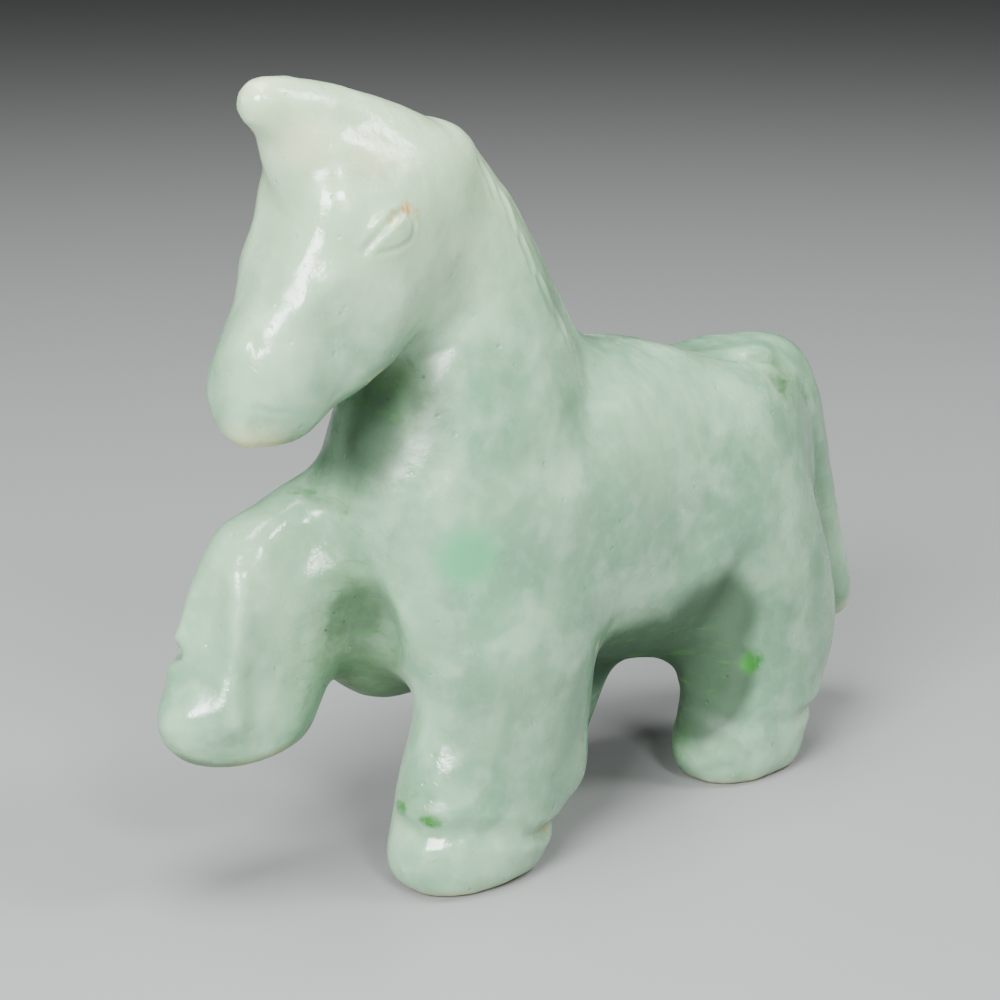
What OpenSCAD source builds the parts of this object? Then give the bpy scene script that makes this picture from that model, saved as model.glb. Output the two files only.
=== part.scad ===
// Carved jade horse, standing on three hooves with the right foreleg raised.
// +Z is up, the horse faces -Y and its left side is +X. The origin lies on the ground,
// under the middle of the carving. Every form below is one region of the same stone: a
// region is cut away where the region before it already fills the space, so neighbours
// meet face to face and never overlap.

/* [Overall] */
// Height from the soles to the top of the crest
figurine_h = 76; // [50:1:120]
// Width of the barrel
body_w = 24; // [21:0.5:26]
// Distance between the left and right leg centres
leg_spread = 14; // [12:0.5:16]

/* [Finish] */
// Sides of every carved cross-section
ring_sides = 32; // [20:4:40]
// Rings between two neighbouring sections
ring_steps = 4; // [2:1:5]

/* [Hidden] */
design_h = 76;
k = figurine_h / design_h;
// the forms are laid out from a point between the shoulders, this far ahead of the middle
datum_y = 2.55;
leg_x = leg_spread / 2;
half_w = body_w / 2;
// how far the rings of a rounded end are turned over
round_in = [78, 55, 28];
round_out = [28, 55, 78];

// A section is [x, y, z, half width, half depth]: its centre, its half size across the
// horse and its other half size, which runs along Y for a level section and along Z for
// an upright one.
function spline(a, b, c, d, t) =
    0.5 * (2 * b + (c - a) * t + (2 * a - 5 * b + 4 * c - d) * t * t
           + (3 * b - a - 3 * c + d) * t * t * t);

function fair(s, n = ring_steps) =
    let (last = len(s) - 1)
    [for (i = [0:last - 1]) for (j = [0:n - 1])
        spline(s[max(i - 1, 0)], s[i], s[i + 1], s[min(i + 2, last)], j / n), s[last]];

// The rings that round off an end section, rise millimetres tall along the form.
function dome(s, rise, upright, turns) =
    rise == 0 ? [] :
    [for (a = turns)
        let (move = rise * sin(a))
        [s[0], s[1] + (upright ? move : 0), s[2] + (upright ? 0 : move),
         s[3] * cos(a), s[4] * cos(a)]];

function signed_power(v, p) = sign(v) * pow(abs(v), p);

function ring(s, square, upright) =
    [for (i = [0:ring_sides - 1])
        let (a = 360 * i / ring_sides,
             u = s[3] * signed_power(cos(a), 2 / square),
             v = s[4] * signed_power(sin(a), 2 / square))
        [s[0] + u, s[1] + (upright ? 0 : v), s[2] + (upright ? v : 0)]];

// One closed slice between two rings.
module slice(a, b) {
    n = ring_sides;
    sides = [for (i = [0:n - 1])
                let (next = (i + 1) % n)
                each [[i, i + n, next], [next, i + n, next + n]]];
    caps = [[for (i = [0:n - 1]) i], [for (i = [n - 1:-1:0]) n + i]];
    hull() polyhedron(concat(a, b), concat(caps, sides));
}

// A rounded form through the sections. square is 2 for an ellipse and more for a boxier
// one; ends gives the signed rise of the rounding on the first and the last section.
module loft(sections, square = 2.2, ends = [0, 0], upright = false) {
    rings = concat(dome(sections[0], ends[0], upright, round_in), fair(sections),
                   dome(sections[len(sections) - 1], ends[1], upright, round_out));
    for (r = [0:len(rings) - 2])
        slice(ring(rings[r], square, upright), ring(rings[r + 1], square, upright));
}

module torso_form()
    loft([[0, -22, 31.5, 0.78 * half_w, 11.5],
          [0, -15, 31.5, 0.94 * half_w, 14.4],
          [0, -3, 32, half_w, 15.6],
          [0, 8, 30.6, 0.96 * half_w, 16.3],
          [0, 18, 28.8, half_w, 16.5],
          [0, 24, 28.8, 0.9 * half_w, 16.3],
          [0, 29, 29.2, 0.72 * half_w, 15.2],
          [0, 33, 29.8, 0.5 * half_w, 12.6],
          [0, 36, 30, 0.34 * half_w, 9.6]], 2.3, [-3, 2], upright = true);

module neck_form()
    loft([[0, -12, 27, 8.5, 10.5],
          [0, -13, 34, 10.8, 13.8],
          [0, -12.2, 42, 10.4, 13],
          [0, -12.2, 50, 9, 10.2],
          [0, -14, 58, 7.6, 8.2],
          [0, -16, 64, 6.2, 6.2],
          [0, -17, 65.2, 5.3, 5]], 2.1, [-2, 1.9]);

module head_form()
    loft([[0, -18, 63.8, 7.2, 8],
          [0, -24, 61.3, 8.2, 10.6],
          [0, -29, 58.6, 8.3, 11.4],
          [0, -33.2, 56, 7, 10.2],
          [0, -36, 52.2, 5.7, 7.8],
          [0, -38.4, 49.2, 4.9, 5.6]], 2.4, [3, -2.2], upright = true);

module crest_form()
    loft([[0, -15, 67.3, 5.2, 3.8],
          [0, -20.5, 68.8, 5.6, 4.3],
          [0, -28, 71.1, 4.6, 4],
          [0, -35.8, 73.9, 2.4, 2.1]], 2.1, [1.5, -1.8], upright = true);

module mane_form()
    loft([[0, 2, 43, 3.15, 3],
          [0, -3.2, 52, 3.15, 3],
          [0, -8.4, 60, 3.15, 3],
          [0, -13.6, 66.6, 3, 3]], 2, [-1, 1.6]);

module tail_form()
    loft([[0, 45.8, 11, 2.6, 2.3],
          [0, 43.7, 16, 3.3, 2.9],
          [0, 39.6, 26, 3.8, 3.2],
          [0, 36.4, 34, 4.3, 4],
          [0, 33.6, 38.6, 4.4, 5.4],
          [0, 31.2, 42, 4.1, 5.8],
          [0, 30.6, 43.4, 3, 3.8]], 2.1, [-1.4, 0.6]);

module left_foreleg_form()
    loft([[leg_x, -16, 6, 5.6, 10],
          [leg_x, -14.8, 11, 5.6, 10.2],
          [leg_x, -13.2, 17, 5.5, 9.4],
          [leg_x, -13, 24, 5.6, 9.8],
          [leg_x - 1, -12, 31, 5, 9]], 2.4);

module left_fore_hoof_form()
    loft([[leg_x, -18.3, 0, 5.4, 7.6],
          [leg_x, -18.5, 3, 5.8, 8.4],
          [leg_x, -17.5, 6, 5.5, 7.9]], 2.4);

module left_hind_leg_form()
    loft([[leg_x, 23, 5.5, 5, 8.4],
          [leg_x, 24.4, 12, 5.3, 9.6],
          [leg_x, 24.6, 18, 5.5, 9.2],
          [leg_x - 0.5, 23, 26, 5.5, 8.4],
          [leg_x - 1.5, 22.5, 33, 5, 7]], 2.3);

module left_hind_hoof_form()
    loft([[leg_x, 21.6, 0, 5, 7],
          [leg_x, 21.5, 3, 5.4, 7.8],
          [leg_x, 21.6, 5.5, 5.1, 7.4]], 2.3);

module right_hind_leg_form()
    loft([[-leg_x, 4, 5.5, 5.4, 7],
          [-leg_x, 7, 12, 5.4, 7.8],
          [-leg_x, 11.5, 18, 5.4, 9],
          [-leg_x + 0.5, 18, 26, 5.5, 9.5]], 2.3);

module right_hind_hoof_form()
    loft([[-leg_x, 2, 0, 5.4, 7],
          [-leg_x, 2, 3, 5.8, 7.8],
          [-leg_x, 2.5, 5.5, 5.5, 7.2]], 2.3);

module raised_forearm_form()
    loft([[-leg_x + 2, -12, 26, 5, 11.5],
          [-leg_x + 0.5, -19, 26, 5.2, 11.5],
          [-leg_x, -25, 28.5, 5, 9],
          [-leg_x, -30.5, 29.2, 4.5, 6]], 2.4, [0, -3], upright = true);

module raised_shin_form()
    loft([[-leg_x, -33, 18.5, 4.6, 9],
          [-leg_x, -31.8, 26, 4.8, 7.5],
          [-leg_x, -30.4, 33, 4.4, 5.2]], 2.4, [0, 2]);

module raised_hoof_form()
    loft([[-leg_x, -34, 13, 4.2, 5.8],
          [-leg_x, -34.5, 14.8, 4.7, 7.8],
          [-leg_x, -34.2, 17.5, 4.8, 8.8],
          [-leg_x, -33.6, 19, 4.7, 8.8]], 2.4, [-0.5, 0]);

// One region of the stone: the first form, less the regions that come before it.
module region()
    color([0.72, 0.83, 0.77]) scale(k) translate([0, -datum_y, 0])
        difference() {
            children(0);
            if ($children > 1) children([1:$children - 1]);
        }

module torso() region() torso_form();
module neck() region() { neck_form(); torso_form(); }
module head() region() { head_form(); neck_form(); }
module crest() region() { crest_form(); head_form(); neck_form(); }
module mane() region() { mane_form(); neck_form(); torso_form(); head_form(); crest_form(); }
module tail() region() { tail_form(); torso_form(); }
module left_foreleg() region() { left_foreleg_form(); torso_form(); neck_form(); }
module left_fore_hoof() region() left_fore_hoof_form();
module raised_forearm() region() { raised_forearm_form(); torso_form(); neck_form(); }
module raised_shin()
    region() { raised_shin_form(); raised_forearm_form(); torso_form(); neck_form(); }
module raised_hoof()
    region() { raised_hoof_form(); raised_shin_form(); raised_forearm_form(); }
module left_hind_leg() region() { left_hind_leg_form(); torso_form(); }
module left_hind_hoof() region() left_hind_hoof_form();
module right_hind_leg() region() { right_hind_leg_form(); torso_form(); }
module right_hind_hoof() region() right_hind_hoof_form();

torso();
neck();
head();
crest();
mane();
tail();
left_foreleg();
left_fore_hoof();
raised_forearm();
raised_shin();
raised_hoof();
left_hind_leg();
left_hind_hoof();
right_hind_leg();
right_hind_hoof();
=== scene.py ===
"""Visual model of the carved jade horse: one continuous polished stone made from the CAD regions."""
import math

import bmesh
import bpy
import numpy as np
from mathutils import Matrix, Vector


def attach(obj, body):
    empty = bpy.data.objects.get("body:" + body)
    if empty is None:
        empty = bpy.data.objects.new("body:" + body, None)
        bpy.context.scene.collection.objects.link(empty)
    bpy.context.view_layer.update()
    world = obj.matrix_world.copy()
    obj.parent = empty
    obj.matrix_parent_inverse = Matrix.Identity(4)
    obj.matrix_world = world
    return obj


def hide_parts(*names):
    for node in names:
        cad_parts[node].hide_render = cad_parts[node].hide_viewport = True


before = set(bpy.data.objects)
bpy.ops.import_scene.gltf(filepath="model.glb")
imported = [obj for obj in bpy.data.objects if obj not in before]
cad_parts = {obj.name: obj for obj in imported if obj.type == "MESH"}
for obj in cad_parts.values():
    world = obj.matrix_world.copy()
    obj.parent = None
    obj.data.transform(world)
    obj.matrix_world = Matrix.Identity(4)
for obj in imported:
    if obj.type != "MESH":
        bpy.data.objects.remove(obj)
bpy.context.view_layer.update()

MM = 0.001

# ---------------------------------------------------------------- camera
# It stands at the horse's left front, a little above its back.
CAM_AZIMUTH = math.radians(45.0)
CAM_PITCH = math.radians(15.0)
CAM_RANGE = 0.2403
CAM_HEIGHT = 0.0975
CAM_AIM_Y = -0.00955
FIELD_OF_VIEW = math.radians(22.0)


def make_camera():
    data = bpy.data.cameras.new("camera")
    data.sensor_width = 36.0
    data.lens = 18.0 / math.tan(FIELD_OF_VIEW / 2)
    data.clip_start = 0.01
    data.clip_end = 10.0
    cam = bpy.data.objects.new("camera", data)
    side, front = math.sin(CAM_AZIMUTH), math.cos(CAM_AZIMUTH)
    cam.location = (CAM_RANGE * side, CAM_AIM_Y - CAM_RANGE * front, CAM_HEIGHT)
    level, drop = math.cos(CAM_PITCH), math.sin(CAM_PITCH)
    look = Vector((-side * level, front * level, -drop))
    cam.rotation_euler = look.to_track_quat("-Z", "Y").to_euler()
    bpy.context.scene.collection.objects.link(cam)
    bpy.context.scene.camera = cam


make_camera()

# ---------------------------------------------------------------- mesh helpers
VOXEL = 0.89  # mm, before one subdivision


# Corners, in mm, of convex lumps that fill out the regions: half of the crest, and the left
# plane of the nose. The crest's other half is its mirror.
CREST_LUMP = [
    (0.9, -37.3, 74.5), (2.2, -37.3, 72.6), (2.5, -36.5, 68.6), (5.7, -33.5, 67.4), (3.7, -33.0, 72.0),
    (7.1, -28.6, 66.6), (4.2, -27.0, 71.2), (6.9, -23.0, 65.4), (3.6, -19.5, 69.8)]
NOSE_LUMP = [
    (5.0, -36.6, 62.4), (6.9, -35.6, 60.0), (6.6, -36.2, 58.6), (1.4, -43.3, 51.4), (3.0, -42.6, 49.4),
    (6.2, -35.0, 52.0), (-0.5, -42.6, 51.6), (0.0, -37.6, 61.5), (0.0, -36.0, 50.0)]
LUMPS = [CREST_LUMP + [(-x, y, z) for x, y, z in CREST_LUMP], NOSE_LUMP]


def join_regions():
    """One mesh object holding a copy of every CAD region, and the lumps."""
    verts, faces, start = [], [], 0
    for name in sorted(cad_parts):
        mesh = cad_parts[name].data
        co = np.empty(len(mesh.vertices) * 3)
        mesh.vertices.foreach_get("co", co)
        verts.append(co.reshape(-1, 3))
        faces += [[start + i for i in p.vertices] for p in mesh.polygons]
        start += len(mesh.vertices)
    for corners in LUMPS:
        blob = bmesh.new()
        for corner in corners:
            blob.verts.new(Vector(corner) * MM)
        bmesh.ops.convex_hull(blob, input=blob.verts)
        blob.verts.index_update()
        verts.append(np.array([v.co[:] for v in blob.verts]))
        faces += [[start + v.index for v in f.verts] for f in blob.faces]
        start += len(blob.verts)
        blob.free()
    mesh = bpy.data.meshes.new("jade_horse")
    mesh.from_pydata(np.concatenate(verts).tolist(), [], faces)
    horse = bpy.data.objects.new("jade_horse", mesh)
    bpy.context.scene.collection.objects.link(horse)
    return horse


def apply_modifiers(obj):
    graph = bpy.context.evaluated_depsgraph_get()
    mesh = bpy.data.meshes.new_from_object(obj.evaluated_get(graph))
    obj.modifiers.clear()
    obj.data = mesh


def read_points(mesh):
    co = np.empty(len(mesh.vertices) * 3)
    mesh.vertices.foreach_get("co", co)
    return co.reshape(-1, 3) / MM


def write_points(mesh, points):
    mesh.vertices.foreach_set("co", (points * MM).ravel())
    mesh.update()


def read_edges(mesh):
    edges = np.empty(len(mesh.edges) * 2, int)
    mesh.edges.foreach_get("vertices", edges)
    return edges.reshape(-1, 2)


def read_quads(mesh):
    total = np.empty(len(mesh.polygons), int)
    mesh.polygons.foreach_get("loop_total", total)
    loops = np.empty(len(mesh.loops), int)
    mesh.loops.foreach_get("vertex_index", loops)
    starts = np.concatenate([[0], np.cumsum(total)[:-1]])
    last = starts + total - 1
    return np.stack([loops[starts], loops[starts + 1], loops[starts + 2], loops[last]], 1)


class Clay:
    """Points of a mesh in millimetres, with their neighbours."""

    def __init__(self, mesh):
        self.mesh = mesh
        self.points = read_points(mesh)
        self.count = len(self.points)
        self.edges = read_edges(mesh)
        self.quads = read_quads(mesh)
        both = np.concatenate([self.edges, self.edges[:, ::-1]])
        self.ends, self.others = both[:, 0], both[:, 1]
        self.degree = np.maximum(np.bincount(self.ends, minlength=self.count), 1)

    def around(self, values):
        """Mean of a value over each point's neighbours."""
        if values.ndim == 1:
            return np.bincount(self.ends, values[self.others], self.count) / self.degree
        return np.stack([self.around(values[:, i]) for i in range(values.shape[1])], 1)

    def normals(self):
        p, q = self.points, self.quads
        face = np.cross(p[q[:, 2]] - p[q[:, 0]], p[q[:, 3]] - p[q[:, 1]])
        out = np.zeros((self.count, 3))
        for corner in range(4):
            for i in range(3):
                out[:, i] += np.bincount(q[:, corner], face[:, i], self.count)
        return out / np.maximum(np.linalg.norm(out, axis=1, keepdims=True), 1e-12)

    def smooth(self, rounds, convex=1.0, concave=1.0, weight=None):
        """Moves points to their neighbours' mean, by a share that depends on the curve."""
        for _ in range(rounds):
            normal = self.normals()
            pull = self.around(self.points) - self.points
            out = (pull * normal).sum(1, keepdims=True)
            slide = pull - out * normal
            share = np.where(out > 0, concave, convex)
            step = 0.5 * slide + 0.5 * share * out * normal
            self.points += step if weight is None else step * weight[:, None]

    def store(self):
        write_points(self.mesh, self.points)

    # ---- carving: every place is in millimetres in the horse's frame
    def look(self):
        """Refreshes the normals the carving pushes along."""
        self.facing = self.normals()

    def toward(self, face):
        """1 where the surface faces a way, fading to 0 as it turns aside."""
        return 1.0 if face is None else np.clip(self.facing @ unit(face) * 2.2 + 0.1, 0, 1)

    def near(self, centre, radius):
        """1 at a place, fading to 0 at a radius, which may differ along x, y and z."""
        gap = np.linalg.norm((self.points - centre) / radius, axis=1)
        return np.clip(1 - gap * gap, 0, 1) ** 2

    def grab(self, centre, radius, shift, face=None):
        """Moves what is near a place."""
        self.points += (self.near(centre, radius) * self.toward(face))[:, None] * np.array(shift)

    def swell(self, centre, radius, height, face=None):
        """Raises the surface near a place; a negative height sinks it."""
        weight = self.near(centre, radius) * self.toward(face) * height
        self.points += weight[:, None] * self.facing

    def facet(self, centre, face, radius, share, fill=0.0):
        """Cuts what stands above a plane, and fills what is below it."""
        face = unit(face)
        above = (self.points - centre) @ face
        share = np.where(above > 0, share, fill * self.toward(face)) * self.near(centre, radius)
        self.points -= (above * share)[:, None] * face

    def line(self, path, squash=(1, 1, 1)):
        """Distance to a run of points, and how far along it each nearest place is."""
        path = np.array(path, float) * squash
        points = self.points * squash
        reach = np.full(self.count, 1e9)
        share = np.zeros(self.count)
        spans = np.linalg.norm(np.diff(path, axis=0), axis=1)
        whole, done = spans.sum(), 0.0
        for start, end, span in zip(path[:-1], path[1:], spans):
            way = end - start
            t = np.clip((points - start) @ way / (way @ way), 0, 1)
            gap = np.linalg.norm(points - start - t[:, None] * way, axis=1)
            closer = gap < reach
            reach = np.where(closer, gap, reach)
            share = np.where(closer, (done + t * span) / whole, share)
            done += span
        return reach, share

    def groove(self, path, width, depth, rim=0.0, face=None, taper=0.25, squash=1.0):
        """A line cut in along a path; a negative depth raises a ridge."""
        reach, share = self.line(path, (squash, 1, 1))
        fade = 1.0 if taper <= 0 else np.clip(np.minimum(share, 1 - share) / taper, 0.0, 1.0) ** 0.6
        lift = -depth * np.exp(-(reach / width) ** 2)
        lift += rim * np.exp(-((reach - 1.9 * width) / width) ** 2)
        self.points += (lift * fade * self.toward(face))[:, None] * self.facing

    def both(self, act, *places, **more):
        """Does the same on the left and on the right of the middle plane."""
        for side in (1, -1):
            act(*[flip(p, side) for p in places], **{k: flip(v, side) for k, v in more.items()})


def unit(vector):
    vector = np.array(vector, float)
    return vector / np.linalg.norm(vector)


def flip(value, side):
    """Mirrors a place, a direction or a path across x = 0; numbers stay as they are."""
    if value is None or np.isscalar(value):
        return value
    return np.array(value, float) * [side, 1, 1]


def wander(points, seed, size, layers=3):
    """Soft seeded noise between about -1 and 1 over the points."""
    dice = np.random.default_rng(seed)
    total, weight = np.zeros(len(points)), 0.0
    for layer in range(layers):
        pitch, gain = size / 2 ** layer, 0.55 ** layer
        for _ in range(7):
            total += gain * np.sin(points @ (unit(dice.normal(size=3)) * 2 * math.pi / pitch)
                                   + dice.uniform(0, 2 * math.pi))
        weight += gain * 7 ** 0.5
    return total / weight


# ---------------------------------------------------------------- the stone
SKIN = 0.50  # mm that the smoothing took off
HAND_WAVE = 0.07  # mm of unevenness from hand polishing
# the crest's top edge: place along the horse, height
CREST_LINE = [(-41.0, 75.7), (-38.0, 75.8), (-33.0, 75.1), (-28.0, 74.0), (-24.0, 72.7), (-20.0, 71.1)]
CREST_START, CREST_END = -39.0, -14.0
# flat strip along the nose ridge: place, radius
NOSE_FACETS = [
    ((6.0, -37.0, 59.3), 2.6), ((5.0, -38.9, 57.3), 2.3), ((3.8, -40.8, 55.2), 2.0),
    ((2.5, -42.3, 53.2), 2.2)]
# ways the polished planes face
CREST_SIDE = (0.817, -0.122, 0.563)
NOSE_STRIP = (0.562, -0.753, 0.340)
CHEEK = (0.90, -0.36, -0.14)
BREAST_CORNER = (0.749, -0.511, 0.423)
KNEE_TOP = (0.758, -0.477, 0.445)
SHIN_FRONT = (0.34, -0.92, 0.16)
SHIN_SIDE = (0.985, -0.16, 0.02)


def level_crest(clay):
    """Brings the crest's top edge to its line of heights."""
    along, height = clay.points[:, 1], clay.points[:, 2]
    places = [y for y, _ in CREST_LINE] + [CREST_END]
    tops = [height[abs(along - max(y, CREST_START)) < 0.5].max() for y, _ in CREST_LINE]
    shifts = [z - top for (_, z), top in zip(CREST_LINE, tops)] + [0.0]
    weight = np.clip((height - 65.0) / 7.0, 0, 1) ** 1.5
    clay.points[:, 2] += np.interp(along, places, shifts) * weight


def carve_brow(clay):
    """The crest's tip, the notch under it, the brow and the eye mounds."""
    clay.grab((0, -34.6, 68.2), 4.5, (0, -1.2, 0.2))
    clay.grab((0, -37.4, 73.6), 4.5, (0, -1.3, -0.1))
    clay.both(clay.swell, (4.6, -35.0, 65.2), 3.6, 0.5)
    clay.both(clay.swell, (6.9, -34.9, 61.4), 2.6, -0.4)
    clay.grab((-5.0, -35.6, 64.0), 6.5, (0.8, 0.9, 0))
    clay.grab((-4.5, -39.6, 57.0), 7.0, (1.0, 1.1, 0))
    clay.grab((-3.2, -42.4, 52.6), 4.0, (0.4, 0.5, 0))
    clay.grab((0, -37.6, 62.4), 4.5, (0, 0.6, 0))
    clay.smooth(26, 0.42, 0.5, weight=clay.near((0, -35, 62), (16, 17, 19)) ** 0.5)
    clay.look()
    clay.both(clay.swell, (7.6, -30.4, 62.4), 3.2, 0.4)
    clay.both(clay.swell, (5.2, -34.6, 65.6), 3.6, 0.25)


def carve_face(clay):
    """The nose wedge, the flat cheeks, the chin and the crest's planes."""
    ridge = [(6.3, -36.2, 59.6), (4.6, -38.5, 57.0), (3.1, -40.7, 54.4), (1.0, -42.9, 51.4)]
    clay.both(clay.groove, ridge, 1.8, -0.25, taper=0.3)
    clay.look()
    clay.both(clay.facet, (6.4, -33.8, 54.2), CHEEK, 8.5, 0.75, fill=0.35)
    clay.grab((1.0, -42.0, 48.2), 5.0, (0.2, -0.2, -1.7))
    clay.grab((3.6, -38.0, 46.6), 4.5, (0.3, 0.3, -0.9))
    clay.look()
    clay.both(clay.facet, (4.9, -30.9, 71.1), CREST_SIDE, (4.5, 8, 4.5), 1.0, fill=0.6)
    level_crest(clay)
    clay.look()
    for place, radius in NOSE_FACETS:
        clay.facet(place, NOSE_STRIP, radius, 0.9, fill=0.9)


def carve_throat(clay):
    """The jaw, standing clear of the throat."""
    jaw = [(4.6, -29.4, 49.4), (6.0, -26.6, 50.6), (6.7, -24.2, 52.8), (7.2, -22.4, 56.0)]
    clay.look()
    clay.both(clay.groove, jaw, 1.2, -0.5, taper=0.3)
    throat = [(2.6, -24.6, 48.6), (5.3, -23.4, 50.8), (6.4, -21.4, 53.4), (7.2, -19.6, 57.0)]
    clay.both(clay.groove, throat, 1.7, 0.55, taper=0.3)
    clay.swell((0, -26.0, 46.8), 4.5, -0.7)


def carve_body(clay):
    """Shoulder, barrel, rump and the valleys in front of the hind legs."""
    shoulder = [(5.6, -5.2, 48.0), (8.6, -7.0, 43.5), (10.8, -7.6, 37.0)]
    clay.look()
    clay.both(clay.groove, shoulder, 2.6, 0.35, taper=0.4)
    clay.both(clay.swell, (10.5, -13.5, 33.5), 8.0, 0.3)
    clay.both(clay.swell, (11.6, 3.5, 30.0), 8.0, -0.45)
    clay.both(clay.swell, (10.6, 18.5, 29.0), 8.0, 0.3)
    clay.grab((0, 18.5, 46.5), (11, 11.0, 8), (0, 0, -1.5))
    left_flank = [(11.6, 14.0, 27.0), (11.0, 12.6, 22.6), (10.0, 11.2, 19.5), (8.6, 10.6, 17.0)]
    right_flank = [(-11.6, 9.0, 27.0), (-11.0, 7.6, 22.0), (-10.0, 6.0, 18.5)]
    clay.groove(left_flank, 2.0, 0.9, taper=0.3)
    clay.groove(right_flank, 2.0, 0.7, taper=0.3)
    clay.look()
    clay.facet((8.3, -24.6, 39.4), BREAST_CORNER, (2.2, 2.2, 3.6), 1.0, fill=1.0)


def carve_raised_leg(clay):
    """An upright edge between two planes, a flat knee, and the pocket behind the leg."""
    shin = [(-4.6, -39.0, 32.6), (-3.5, -39.9, 28.6), (-2.9, -40.4, 24.2), (-2.7, -40.9, 19.6),
            (-2.7, -41.3, 15.9)]
    clay.look()
    clay.groove(shin, 1.8, -1.0, taper=0.1)
    clay.look()
    clay.facet((-6.4, -40.4, 25.0), SHIN_FRONT, (6, 6, 11), 0.85, fill=0.3)
    clay.facet((-2.5, -35.4, 23.0), SHIN_SIDE, (7, 8, 11), 0.85, fill=0.5)
    clay.look()
    clay.facet((-2.0, -38.0, 15.4), (0.98, -0.18, 0.0), (5, 7, 5), 0.6, fill=0.75)
    clay.grab((1.2, -27.2, 24.4), (4.0, 5.0, 6.5), (-0.3, 2.3, 0.3), face=(0.2, -0.9, -0.3))
    clay.smooth(10, 0.5, 0.5, weight=clay.near((0.5, -29, 31), 6.5) ** 0.5)
    clay.look()
    clay.facet((-1.9, -31.1, 31.1), KNEE_TOP, 6.0, 1.0, fill=1.0)


def carve_hooves(clay):
    """The standing hooves, wider than the pasterns above them."""
    clay.look()
    clay.swell((9.0, -11.4, 8.8), (5.5, 5.5, 5.5), 0.9, face=(0.5, 0.8, 0.1))
    clay.grab((7.0, -19.0, 2.6), (9.5, 11, 5.2), (0.25, -0.35, 0))
    clay.grab((7.0, -12.0, 3.0), (6.5, 6, 4.0), (0.3, 0.6, 0))
    clay.grab((7.4, 14.6, 3.0), (8, 6, 4.5), (-0.3, -0.7, 0))


def carve_masses(clay):
    """Planes and swellings of the whole horse, before the fine lines."""
    clay.look()
    clay.points += SKIN * clay.facing
    carve_brow(clay)
    carve_face(clay)
    carve_throat(clay)
    carve_body(clay)
    carve_raised_leg(clay)
    carve_hooves(clay)


def carve_lines(clay):
    """Creases where one mass meets the next."""
    clay.look()
    for path, width, depth, rim, taper in CREASES:
        clay.groove(path, width, depth, rim=rim, taper=taper)
    clay.both(clay.groove, TAIL_EDGE, 0.9, 0.9, rim=0.12)
    clay.groove([(9.2, 16.2, 14.6), (10.9, 15.0, 12.6), (11.2, 15.2, 10.2)], 1.1, -0.4)


# creases: path, width, depth, rim, taper
CREASES = [
    # between the breast and the raised foreleg
    ([(-5.2, -30.2, 36.8), (-3.4, -30.0, 36.4), (-0.4, -29.6, 36.0), (2.6, -29.0, 35.9)],
     0.5, 0.3, 0.04, 0.4),
    # over the left fore hoof, and round the back of it
    ([(3.4, -28.6, 6.8), (7.0, -28.8, 6.7), (9.6, -27.9, 6.5), (11.4, -25.6, 6.8), (12.5, -22.0, 5.9),
      (12.6, -18.0, 4.6)], 0.9, 0.30, 0.22, 0.3),
    ([(4.4, -28.6, 7.4), (6.6, -28.9, 7.0), (8.6, -28.4, 6.6)], 0.5, 0.3, 0.15, 0.5),
    ([(12.6, -19.6, 5.0), (12.5, -17.0, 4.4), (11.9, -15.0, 4.0), (9.8, -13.0, 4.2), (6, -12.0, 4.4),
      (2.6, -13.2, 4.6)], 0.7, 0.8, 0.15, 0.2),
    # over the left hind hoof, and round the back of it
    ([(3.2, 13.8, 8.6), (5.8, 12.4, 8.6), (8.7, 12.6, 8.0), (11.1, 15.0, 6.9), (12.1, 18.8, 6.4),
      (12.0, 21.0, 5.9)], 0.8, 0.25, 0.1, 0.1),
    ([(12.0, 21.0, 6.1), (12.0, 23.2, 6.0), (11.0, 26.4, 6.0), (8.2, 29.2, 6.0), (5.0, 29.0, 6.0)],
     0.7, 0.75, 0.15, 0.25),
    # round the right hind hoof
    ([(-3.0, -4.6, 6.6), (-5.8, -5.8, 6.8), (-9.2, -5.2, 6.6), (-11.8, -1.6, 6.2), (-12.2, 3.0, 5.6),
      (-10.4, 7.4, 5.4), (-7.0, 9.0, 5.4), (-3.6, 8.0, 5.6)], 0.75, 0.4, 0.12, 0.06),
    # the raised hoof's notch and its outer crease
    ([(-11.6, -41.2, 22.6), (-9.4, -42.8, 23.2), (-7.8, -43.4, 23.2)], 0.75, 1.3, 0.2, 0.35),
    ([(-11.6, -40.4, 21.6), (-12.4, -36.5, 19.8), (-12.0, -32.0, 19.0)], 0.8, 0.5, 0.15, 0.25),
]
TAIL_EDGE = [
    (2.6, 15.0, 45.0), (4.2, 18.2, 44.6), (5.2, 22.0, 43.6), (5.4, 26.0, 41.6), (4.9, 30.2, 37.6),
    (4.6, 32.6, 32.6), (4.4, 34.4, 28.0), (3.8, 36.8, 23.0)]


def refine(mesh, places):
    """Halves the edges near some places, for the finest lines."""
    bm = bmesh.new()
    bm.from_mesh(mesh)
    middles = np.array([(e.verts[0].co + e.verts[1].co)[:] for e in bm.edges]) / (2 * MM)
    picked = np.zeros(len(middles), bool)
    for place, radius in places:
        picked |= np.linalg.norm((middles - place) / radius, axis=1) < 1
    edges = [edge for edge, pick in zip(bm.edges, picked) if pick]
    bmesh.ops.subdivide_edges(bm, edges=edges, cuts=1, use_grid_fill=True)
    bm.to_mesh(mesh)
    bm.free()


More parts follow.
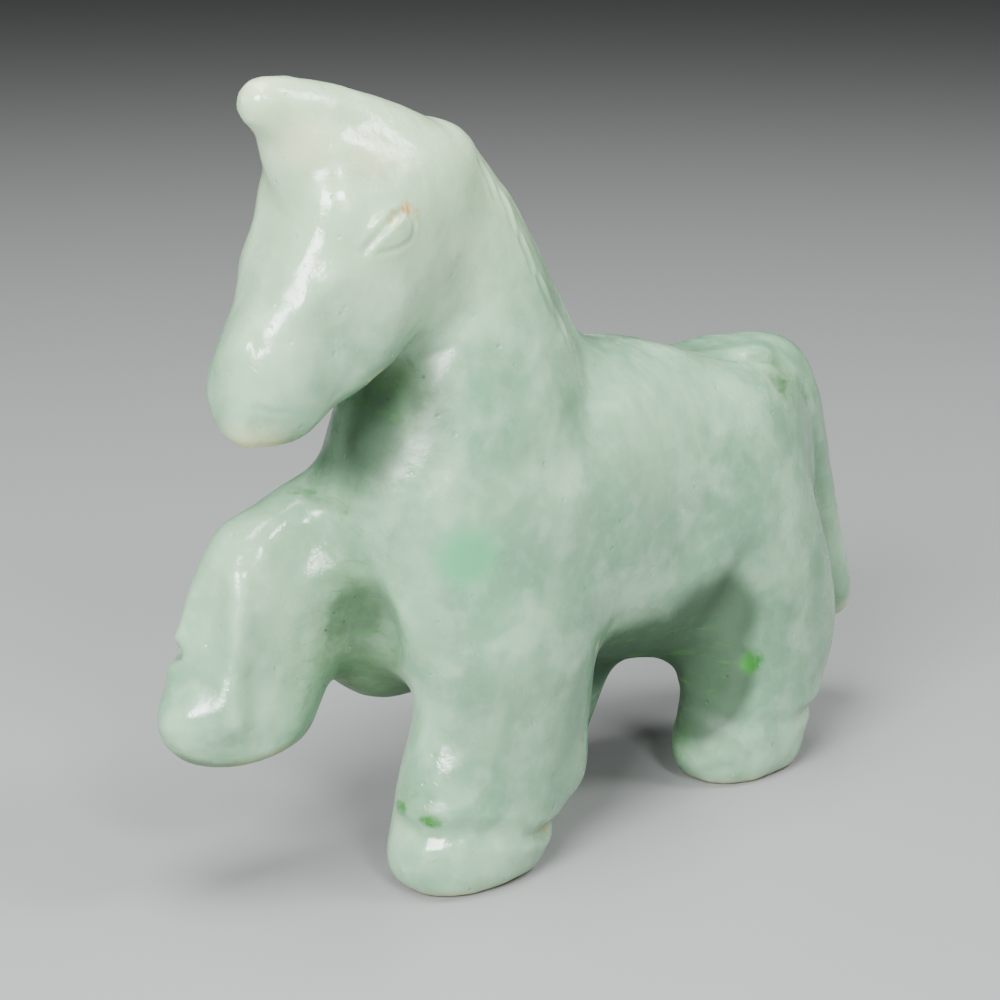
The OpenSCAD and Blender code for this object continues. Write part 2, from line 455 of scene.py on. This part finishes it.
def carve_fine(clay):
    """The incised eyes, the mouth and the cuts along the mane."""
    clay.look()
    face = (1, -0.3, 0.1)
    clay.both(clay.swell, (8.4, -30.6, 62.6), (3, 2.3, 1.7), 0.22)
    clay.look()
    upper = [(7.6, -33.8, 60.9), (7.9, -32.9, 62.0), (8.3, -31.7, 63.2), (8.3, -30.5, 64.0),
             (8.3, -29.5, 64.3)]
    lower = [(7.8, -33.2, 61.0), (8.2, -32.3, 60.9), (8.8, -30.5, 61.2), (8.7, -29.0, 61.9),
             (8.6, -28.6, 63.0), (8.3, -29.3, 64.1)]
    clay.both(clay.groove, upper, 0.30, 0.27, rim=0.09, face=face, taper=0.15, squash=0.25)
    clay.both(clay.groove, lower, 0.24, 0.14, rim=0.03, face=face, taper=0.2, squash=0.25)
    left_mouth = [(3.1, -43.0, 48.1), (4.0, -42.4, 48.2), (4.8, -41.4, 47.8), (5.4, -40.0, 47.6)]
    right_mouth = [(-2.6, -42.8, 48.0), (-4.2, -41.6, 47.8), (-5.0, -40.2, 47.6)]
    clay.groove(left_mouth, 0.28, 0.15, rim=0.06, taper=0.4)
    clay.groove(right_mouth, 0.28, 0.14, rim=0.05, taper=0.4)
    for cut in MANE_CUTS:
        clay.both(clay.groove, cut, 0.34, 0.34, rim=0.16, taper=0.5, squash=0.5)


MANE_CUTS = [
    ((5.0, -17.6, 67.3), (5.6, -16.6, 65.2), (6.1, -16.4, 63.4)),
    ((5.4, -15.3, 64.5), (6.1, -14.9, 62.6), (6.8, -14.6, 60.6)),
    ((6.8, -14.0, 60.2), (7.3, -13.4, 58.2), (7.7, -12.8, 56.2)),
    ((7.5, -12.5, 56.6), (7.9, -11.6, 54.5), (7.9, -10.8, 52.6)),
    ((7.6, -10.4, 53.0), (7.8, -9.2, 50.8), (7.8, -8.2, 48.8)),
    ((2.6, -12.6, 65.0), (3.2, -10.8, 62.0), (3.4, -9.6, 59.6)),
    ((2.8, -9.0, 59.6), (3.2, -7.4, 57.0), (3.4, -6.2, 54.6)),
    ((2.8, -5.6, 54.4), (3.2, -4.0, 51.6), (3.4, -2.8, 49.2)),
]
# where the mesh is made finer: place, radius
FINE_PLACES = [((8.2, -31.0, 62.5), 4.2), ((-8.2, -31.0, 62.5), 4.2), ((4.0, -41.8, 48.0), 2.6),
               ((0, -12.0, 60.0), (9, 4.5, 9)), ((0, -7.5, 54.0), (9, 4.5, 8))]


def spread(clay, places, reach=1.0):
    """The strongest of several stains at each point."""
    total = np.zeros(clay.count)
    for place, radius, amount in places:
        total = np.maximum(total, amount * clay.near(place, reach * np.array(radius)))
    return total


def find_hollows(clay):
    """1 in hollows and -1 on ridges, from how far a smoothing moves the surface."""
    kept, facing = clay.points.copy(), clay.normals()
    clay.smooth(14, 0.5, 0.5)
    moved = ((clay.points - kept) * facing).sum(1)
    clay.points = kept
    for _ in range(3):
        moved = clay.around(moved)
    return np.clip(moved / 0.18, -1, 1)


def find_residue_and_shade(clay):
    """Residue in the places and lines it is named for, some places being painted shade under the belly
    and on the hind legs, and painted shade on undersides that stand clear.
    """
    height = clay.points[:, 2]
    green = spread(clay, RESIDUE_AND_SHADE_PLACES, 1.7)
    for path, width, amount in GREEN_LINES:
        green = np.maximum(green, amount * np.exp(-(clay.line(path)[0] / width) ** 2))
    # painted shade: surfaces that face down, above the floor, are darkened
    under = np.clip(-1.3 * clay.normals()[:, 2] - 0.15, 0, 1) * np.clip((height - 9) / 4, 0, 1)
    green = np.maximum(green, 0.95 * under * np.clip((50 - height) / 6, 0.15, 1))
    for _ in range(3):
        green = clay.around(green)
    return green


def paint_stone(clay):
    """Where the stone is greener, warmer or stained, and where shade is painted on, as one number per
    point.
    """
    foot_rim = np.clip(1 - clay.points[:, 2] / 1.1, 0, 1) * 0.8
    layers = {
        "hollow": find_hollows(clay),
        # residue in creases and recesses, and painted shade on undersides
        "green": find_residue_and_shade(clay),
        # painted shade on the lower body, the legs and the breast under the jaw
        "painted_shade": np.minimum(spread(clay, PAINTED_SHADE_PLACES, 1.25), 1),
        "moss": spread(clay, MOSS_PLACES),
        "pale": spread(clay, PALE_PLACES),
        "warm": np.maximum(foot_rim, spread(clay, WARM_PLACES)),
        "emerald": np.minimum(spread(clay, EMERALD_PLACES), 1),
        "rust": spread(clay, RUST_PLACES),
    }
    for name, values in layers.items():
        layer = clay.mesh.attributes.new(name, "FLOAT", "POINT")
        layer.data.foreach_set("value", np.ascontiguousarray(values, np.float32))


# stains and painted shade: place, radius, amount
# residue in the creases and recesses, and painted shade under the belly, between the legs and on the
# front of the left hind leg
RESIDUE_AND_SHADE_PLACES = [
    ((2.0, -25.2, 46.6), (4.4, 4.5, 4.6), 1.0), ((4.0, -25.5, 43.0), (4.5, 4, 6), 0.4),
    ((0.5, -27.0, 40.5), (6, 4, 4.5), 0.45), ((-1.0, -28.0, 25.5), (4.0, 4.6, 6.5), 0.8),
    ((-2.3, -32.0, 22.0), (2.5, 4.5, 5.5), 0.5), ((-2.2, -25.0, 20.0), (5, 5, 4), 0.9),
    ((7.5, 6.5, 16.8), (5, 9, 3.4), 0.85), ((8.0, 12.4, 12.4), (4.2, 2.6, 4.6), 1.0),
    ((4.0, 13.0, 8.0), (3.5, 3.5, 7.5), 1.0), ((0.0, -5.0, 15.8), (8, 12, 3), 0.6),
    ((-6, 14, 13), (6, 6, 5), 0.6), ((9.6, -27.8, 8.4), (1.8, 2, 1.6), 0.55),
    ((6.6, -28.4, 9.4), (1.6, 2, 1.8), 0.55), ((11.2, -16.0, 22.0), (3, 3, 5), 0.3),
    ((7.2, -22.5, 57.5), (3, 3.4, 4.5), 0.25), ((4.8, -32.0, 67.6), (5.0, 5, 2.2), 0.42),
    ((-4.8, -32.0, 67.6), (5.0, 5, 2.2), 0.42), ((8.0, 23.0, 40.8), (2.4, 3.2, 2.4), 0.75),
    ((4.2, -25.6, 44.6), (3.0, 3.0, 4.4), 0.6),
]
# stain lines: path, width, amount
GREEN_LINES = [
    ([(-6.4, -30.2, 36.6), (-3.4, -30.0, 36.3), (0.4, -29.6, 35.9)], 0.8, 0.8),
    ([(3.9, 17.4, 44.8), (5.2, 22.0, 43.6), (5.4, 26.0, 41.6), (4.9, 30.2, 37.6)], 1.3, 0.7),
    ([(12.4, -19.0, 4.8), (11.9, -15.2, 4.0), (9.8, -13.0, 4.2)], 0.7, 0.7),
    ([(1.2, -28.8, 31.0), (2.6, -28.2, 27.6), (3.8, -27.4, 24.4), (4.6, -26.4, 20.0)], 0.9, 0.6),
    ([(4.4, 32.6, 32.6), (4.4, 34.4, 28.0), (3.8, 36.8, 23.0)], 1.2, 0.5),
]
# painted shade: the belly and lower flanks, the hind legs, the standing foreleg, the pocket behind the
# raised leg and the breast under the jaw
PAINTED_SHADE_PLACES = [
    ((7.0, 1.0, 16.0), (8, 14, 6.5), 1.6), ((6.4, 10.4, 12.6), (8.0, 7.0, 8.5), 3.0),
    ((9.6, 10.0, 18.6), (6, 8, 7), 1.5), ((12.0, 18.0, 19.0), (6, 11, 12), 0.32),
    ((12.9, -12.6, 14.0), (4, 6, 12), 0.40), ((1.4, -27.0, 42.6), (5.0, 5, 8.0), 1.0),
    ((-0.5, -27.0, 24.5), (5, 5.5, 8), 0.6), ((0.0, 0.0, 13.0), (9, 20, 6), 0.8),
    ((5.2, -24.4, 46.2), (4.0, 4.0, 7.5), 0.6), ((12.6, 24.0, 20.0), (5, 7, 13), 0.3),
    ((10.4, -22.0, 16.0), (6, 7, 10), 0.36), ((11.6, -16.0, 22.0), (5, 5, 9), 0.22),
]
MOSS_PLACES = [
    ((11.5, 15.3, 13.4), (2.2, 2.6, 2.4), 1.0), ((8.2, 23.4, 40.2), (2.6, 3.6, 3.2), 0.45),
    ((5.6, -28.6, 8.2), (3.0, 2.0, 1.6), 0.7), ((9.4, -28.0, 7.8), (2.6, 2, 1.2), 0.8),
    ((12.0, -17.5, 5.6), (2, 3.5, 1.4), 0.7), ((-0.4, -30.2, 24.0), (2.6, 2.6, 5.0), 0.6),
    ((-4.4, -30.2, 36.8), (2.4, 2, 1.0), 0.6), ((2.2, -26.6, 41.5), (3.4, 2.6, 2.0), 0.4),
    ((8.6, -24.6, 15.0), (2.0, 3.0, 4.0), 0.35), ((6.0, 9.8, 6.0), (3.0, 3.0, 5.0), 0.7),
    ((8.4, 0.0, 17.6), (2, 5, 1.6), 0.4),
]
PALE_PLACES = [
    ((7.5, -22.0, 3.6), (9, 10, 6), 0.8), ((-4.5, -37.0, 27.0), (9, 9, 17), 0.6),
    ((8.5, 0.0, 40.0), (9, 15, 10), 0.5), ((6.8, -27.0, 57.0), (6, 9, 10), 0.5),
    ((2.5, -40.5, 53.0), (7, 7, 9), 0.6), ((10.0, -13.0, 37.0), (7, 9, 9), 0.4),
    ((0.0, -30.0, 71.5), (9, 12, 5), 0.7), ((8.0, -24.5, 39.5), (3, 3, 6), 0.6),
]
WARM_PLACES = [
    ((11.2, -7.7, 20.3), 0.8, 0.9), ((2.6, -35.6, 70.2), (4, 4.5, 3.2), 0.45),
    ((5.6, -31.0, 68.6), (3, 4.5, 2.4), 0.35), ((1.5, -41.4, 44.6), (5, 4, 3.6), 0.8),
    ((0, 44.2, 11.6), (4, 4, 4), 0.9), ((0, -38, 74.5), 3.5, 0.35),
    ((-6.0, -35.0, 12.4), (7, 10, 3.0), 0.7), ((5.6, -30.6, 49.2), 1.8, 0.5),
]
EMERALD_PLACES = [((9.8, -23.4, 32.2), (4.4, 4.6, 4.2), 1.3)]
RUST_PLACES = [
    ((8.4, -29.3, 64.4), 1.0, 1.0), ((8.4, -30.8, 63.9), 1.1, 0.6), ((8.6, -28.3, 63.9), 0.9, 0.6),
    ((11.4, -14.6, 4.2), 1.3, 0.8), ((11.9, 22.8, 6.2), 1.0, 0.4),
]


def fuse_regions(horse):
    """Turns the overlapping regions into one closed skin of even quads."""
    remesh = horse.modifiers.new("remesh", "REMESH")
    remesh.mode = "VOXEL"
    remesh.voxel_size = VOXEL * MM
    remesh.adaptivity = 0.0
    apply_modifiers(horse)


def melt_seams(horse):
    """Fills the creases between regions, then rounds everything a little."""
    clay = Clay(horse.data)
    clay.smooth(6, 0.5, 0.5)
    clay.smooth(44, 0.05, 0.8)
    clay.smooth(22, 0.5, 0.5)
    clay.store()


def build_horse():
    horse = join_regions()
    fuse_regions(horse)
    melt_seams(horse)
    finer = horse.modifiers.new("finer", "SUBSURF")
    finer.levels = finer.render_levels = 1
    apply_modifiers(horse)
    clay = Clay(horse.data)
    carve_masses(clay)
    clay.smooth(5, 0.5, 0.5)
    carve_lines(clay)
    clay.smooth(1, 0.5, 0.5)
    clay.look()
    clay.points += (HAND_WAVE * wander(clay.points, 5, 9.0, 3))[:, None] * clay.facing
    clay.store()
    refine(horse.data, FINE_PLACES)
    clay = Clay(horse.data)
    carve_fine(clay)
    clay.points[:, 2] = np.maximum(clay.points[:, 2], 0.0)
    clay.store()
    paint_stone(clay)
    for polygon in horse.data.polygons:
        polygon.use_smooth = True
    return horse


horse = build_horse()
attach(horse, "root")
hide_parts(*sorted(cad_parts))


# ---------------------------------------------------------------- materials
class Graph:
    """Short names for the nodes of one material, working in millimetres."""

    def __init__(self, name):
        self.material = bpy.data.materials.new(name)
        self.material.use_nodes = True
        self.tree = self.material.node_tree
        self.shader = self.tree.nodes["Principled BSDF"]
        place = self.add("ShaderNodeTexCoord").outputs["Object"]
        scale = self.add("ShaderNodeVectorMath", operation="MULTIPLY")
        self.tree.links.new(place, scale.inputs[0])
        scale.inputs[1].default_value = (1000, 1000, 1000)
        self.place = scale.outputs[0]

    def add(self, kind, **settings):
        node = self.tree.nodes.new(kind)
        for key, value in settings.items():
            setattr(node, key, value)
        return node

    def feed(self, socket, value):
        if isinstance(value, bpy.types.NodeSocket):
            self.tree.links.new(value, socket)
        else:
            socket.default_value = value

    def shift(self, offset, stretch=(1, 1, 1)):
        node = self.add("ShaderNodeMapping")
        self.feed(node.inputs["Vector"], self.place)
        node.inputs["Location"].default_value = offset
        node.inputs["Scale"].default_value = stretch
        return node.outputs[0]

    def noise(self, size, detail=3.0, rough=0.55, warp=0.0, offset=(0, 0, 0), stretch=(1, 1, 1)):
        node = self.add("ShaderNodeTexNoise")
        self.feed(node.inputs["Vector"], self.shift(offset, stretch))
        node.inputs["Scale"].default_value = 1 / size
        node.inputs["Detail"].default_value = detail
        node.inputs["Roughness"].default_value = rough
        node.inputs["Distortion"].default_value = warp
        return node.outputs[0]

    def cells(self, size, feature="F1", offset=(0, 0, 0)):
        node = self.add("ShaderNodeTexVoronoi", feature=feature)
        self.feed(node.inputs["Vector"], self.shift(offset))
        node.inputs["Scale"].default_value = 1 / size
        return node.outputs["Distance"]

    def layer(self, name):
        return self.add("ShaderNodeAttribute", attribute_name=name).outputs["Fac"]

    def span(self, value, low, high, out_low=0.0, out_high=1.0):
        node = self.add("ShaderNodeMapRange", interpolation_type="SMOOTHSTEP")
        for socket, number in zip(node.inputs, (value, low, high, out_low, out_high)):
            self.feed(socket, number)
        return node.outputs[0]

    def math(self, operation, *values):
        node = self.add("ShaderNodeMath", operation=operation)
        for socket, value in zip(node.inputs, values):
            self.feed(socket, value)
        return node.outputs[0]

    def mix(self, share, first, second):
        node = self.add("ShaderNodeMix", data_type="RGBA")
        self.feed(node.inputs["Factor"], share)
        for socket, value in ((node.inputs[6], first), (node.inputs[7], second)):
            self.feed(socket, (*value, 1) if isinstance(value, tuple) else value)
        return node.outputs[2]

    def bump(self, height, depth, under=None):
        node = self.add("ShaderNodeBump")
        node.inputs["Distance"].default_value = depth * MM
        self.feed(node.inputs["Height"], height)
        if under is not None:
            self.feed(node.inputs["Normal"], under)
        return node.outputs[0]


# colours of the stone, of what sits on it, and of painted shade
CELADON, CELADON_LIGHT = (0.165, 0.335, 0.205), (0.245, 0.44, 0.275)
COTTON = (0.44, 0.66, 0.46)
GRAIN = (0.62, 0.77, 0.63)
CROWN_WHITE = (0.62, 0.80, 0.52)
PALE = (0.58, 0.78, 0.54)
EMERALD = (0.09, 0.43, 0.20)
# residue, also laid on undersides as painted shade
RESIDUE_AND_SHADE, THICK_RESIDUE_AND_SHADE = (0.13, 0.26, 0.10), (0.05, 0.12, 0.045)
# painted shade in the hollows
PAINTED_HOLLOW_SHADE = (0.26, 0.38, 0.22)
# painted shade, laid on the low and shaded places
PAINTED_SHADE_COLOR = (0.035, 0.085, 0.042)
STREAK_GREEN = (0.05, 0.17, 0.03)
MOSS_GREEN = (0.02, 0.19, 0.015)
SPECK_BLACK = (0.015, 0.03, 0.012)
CREAM = (0.75, 0.73, 0.42)
WORN_EDGE = (0.84, 0.90, 0.82)
RUST = (0.55, 0.25, 0.03)


def stone_color(g):
    """Pale celadon with grey-green clouds, cotton-white wisps, and a whiter crest and face."""
    color = g.mix(g.span(g.noise(9.0, 3, 0.5, 0.3), 0.34, 0.66), CELADON, CELADON_LIGHT)
    cotton = g.span(g.noise(5.5, 3, 0.5, 0.3, offset=(11, 4, 7)), 0.44, 0.68)
    color = g.mix(g.math("MULTIPLY", cotton, 0.42), color, COTTON)
    grains = g.span(g.noise(1.5, 2, 0.5, 0.1, offset=(3, 9, 1)), 0.45, 0.70)
    color = g.mix(g.math("MULTIPLY", grains, 0.09), color, GRAIN)
    height = g.add("ShaderNodeSeparateXYZ")
    g.feed(height.inputs[0], g.place)
    crown = g.span(height.outputs["Z"], 46.0, 74.0)
    color = g.mix(g.math("MULTIPLY", crown, 0.62), color, CROWN_WHITE)
    color = g.mix(g.math("MULTIPLY", g.layer("pale"), 0.5), color, PALE)
    return g.mix(g.math("MULTIPLY", g.layer("emerald"), 0.9), color, EMERALD)


def stains_and_painted_shade(g, color, hollow, green, painted_shade):
    """Residue, painted shade on undersides, in the hollows and low down, specks, cream rims, worn
    edges and rust.
    """
    blotch = g.span(g.noise(2.6, 5, 0.65, 0.8, offset=(5, 1, 9)), 0.36, 0.62)
    amount = g.math("MULTIPLY", green, g.math("ADD", g.math("MULTIPLY", blotch, 0.65), 0.35))
    # residue, and painted shade on undersides and low places
    color = g.mix(g.math("MULTIPLY", amount, 0.85), color, RESIDUE_AND_SHADE)
    color = g.mix(g.span(green, 0.6, 1.0, 0.0, 0.6), color, THICK_RESIDUE_AND_SHADE)
    # painted shade in the hollows
    color = g.mix(g.span(hollow, 0.15, 0.9, 0.0, 0.35), color, PAINTED_HOLLOW_SHADE)
    # painted shade darkens the stone wherever the shade table reaches
    color = g.mix(g.math("MULTIPLY", painted_shade, 0.94), color, PAINTED_SHADE_COLOR)
    streak = g.noise(1.5, 4, 0.7, 0.4, offset=(2, 8, 3), stretch=(0.45, 0.45, 2.2))
    streak = g.math("MULTIPLY", g.span(streak, 0.56, 0.66), g.math("MULTIPLY", green, 0.8))
    color = g.mix(streak, color, STREAK_GREEN)
    moss = g.math("MULTIPLY", g.layer("moss"), g.noise(0.9, 4, 0.7, offset=(3, 3, 8)))
    color = g.mix(g.span(moss, 0.12, 0.42), color, MOSS_GREEN)
    specks = g.span(g.cells(1.1, offset=(1, 1, 4)), 0.10, 0.22, 1.0, 0.0)
    specks = g.math("MULTIPLY", specks, g.span(g.noise(3.0, 2, offset=(6, 6, 2)), 0.52, 0.62))
    color = g.mix(g.math("MULTIPLY", specks, g.span(green, 0.45, 0.9)), color, SPECK_BLACK)
    color = g.mix(g.math("MULTIPLY", g.layer("warm"), 0.85), color, CREAM)
    color = g.mix(g.span(hollow, -0.35, -1.0, 0.0, 0.35), color, WORN_EDGE)
    rust = g.math("MULTIPLY", g.layer("rust"), g.span(g.noise(0.5, 3, offset=(4, 4, 4)), 0.38, 0.6))
    return g.mix(rust, color, RUST)


def stone_polish(g, hollow, green, painted_shade):
    """Roughness: glossy, duller in the hollows, in the residue and in the patches of painted shade."""
    rough = g.span(g.noise(5.0, 4, 0.6, offset=(9, 3, 3)), 0.40, 0.70, 0.16, 0.30)
    rough = g.math("ADD", rough, g.span(hollow, 0.1, 0.8, 0.0, 0.22))
    rough = g.math("ADD", rough, g.math("MULTIPLY", green, 0.30))
    return g.math("ADD", rough, g.math("MULTIPLY", painted_shade, 0.42))


def stone_relief(g):
    """Tool ripples, fine orange peel, pits in some patches, and scratches."""
    normal = g.bump(g.noise(6.0, 2, 0.5, offset=(1, 5, 5)), 0.35)
    normal = g.bump(g.noise(1.6, 3, 0.6, offset=(8, 1, 2)), 0.06, normal)
    pits = g.span(g.cells(2.1, offset=(3, 7, 7)), 0.05, 0.15)
    pitted = g.span(g.noise(4.0, 2, offset=(2, 2, 9)), 0.50, 0.56)
    pits = g.math("MAXIMUM", pits, g.math("SUBTRACT", 1.0, pitted))
    normal = g.bump(pits, 0.07, normal)
    scratch = g.noise(0.9, 2, 0.5, 0.2, offset=(5, 5, 1), stretch=(0.2, 3.0, 1.0))
    return g.bump(g.span(scratch, 0.62, 0.70), -0.01, normal)


def jade_material():
    g = Graph("jade")
    hollow = g.layer("hollow")
    # a noise that frays the edges of the stains and of the painted shade
    ragged = g.math("MULTIPLY", g.noise(1.8, 4, 0.6, 0.3, offset=(7, 2, 6)), 0.40)
    green = g.span(g.math("SUBTRACT", g.layer("green"), ragged), -0.08, 0.66)
    half = g.math("MULTIPLY", ragged, 0.5)
    # the painted shade, frayed at its edges
    painted_shade = g.span(g.math("SUBTRACT", g.layer("painted_shade"), half), -0.1, 0.75)
    color = stains_and_painted_shade(g, stone_color(g), hollow, green, painted_shade)
    g.feed(g.shader.inputs["Base Color"], color)
    g.feed(g.shader.inputs["Roughness"], stone_polish(g, hollow, green, painted_shade))
    g.feed(g.shader.inputs["Normal"], stone_relief(g))
    g.shader.inputs["IOR"].default_value = 1.62
    g.shader.inputs["Subsurface Weight"].default_value = 0.8
    g.shader.inputs["Subsurface Radius"].default_value = (0.9, 1.2, 0.9)
    g.shader.inputs["Subsurface Scale"].default_value = 0.0013
    return g.material


horse.data.materials.clear()
horse.data.materials.append(jade_material())


# ---------------------------------------------------------------- stage and light
FLOOR_HALF = 1.5
FLOOR_GREY = (0.30, 0.31, 0.31, 1)
# name, place, what it aims at, size, watts
LIGHTS = [
    ("front", (0.17, -0.45, 0.29), (0, -0.01, 0.045), (0.24, 0.17), 5.9),
    ("right", (0.42, -0.20, 0.35), (0, -0.01, 0.045), (0.11, 0.09), 1.8),
    ("top", (0.00, -0.08, 0.60), (0, -0.01, 0.04), (0.34, 0.34), 4.9),
    ("behind", (0.28, 0.24, 0.48), (0, -0.01, 0.05), (0.17, 0.14), 1.9),
]


def make_stage():
    mesh = bpy.data.meshes.new("floor")
    corners = [(-1, -1), (1, -1), (1, 1), (-1, 1)]
    mesh.from_pydata([(x * FLOOR_HALF, y * FLOOR_HALF, 0) for x, y in corners], [], [(0, 1, 2, 3)])
    floor = bpy.data.objects.new("floor", mesh)
    bpy.context.scene.collection.objects.link(floor)
    mat = bpy.data.materials.new("floor")
    mat.use_nodes = True
    shader = mat.node_tree.nodes["Principled BSDF"]
    shader.inputs["Base Color"].default_value = FLOOR_GREY
    shader.inputs["Roughness"].default_value = 0.5
    mesh.materials.append(mat)


def area_light(name, place, aim, size, power):
    data = bpy.data.lights.new(name, "AREA")
    data.shape = "RECTANGLE"
    data.size, data.size_y = size
    data.energy = power
    lamp = bpy.data.objects.new(name, data)
    lamp.location = place
    lamp.rotation_euler = (Vector(aim) - Vector(place)).to_track_quat("-Z", "Y").to_euler()
    bpy.context.scene.collection.objects.link(lamp)


def light_scene():
    world = bpy.data.worlds.new("studio")
    bpy.context.scene.world = world
    world.use_nodes = True
    background = world.node_tree.nodes["Background"]
    background.inputs["Color"].default_value = (0.9, 0.93, 0.95, 1)
    background.inputs["Strength"].default_value = 0.06
    for light in LIGHTS:
        area_light(*light)


make_stage()
light_scene()
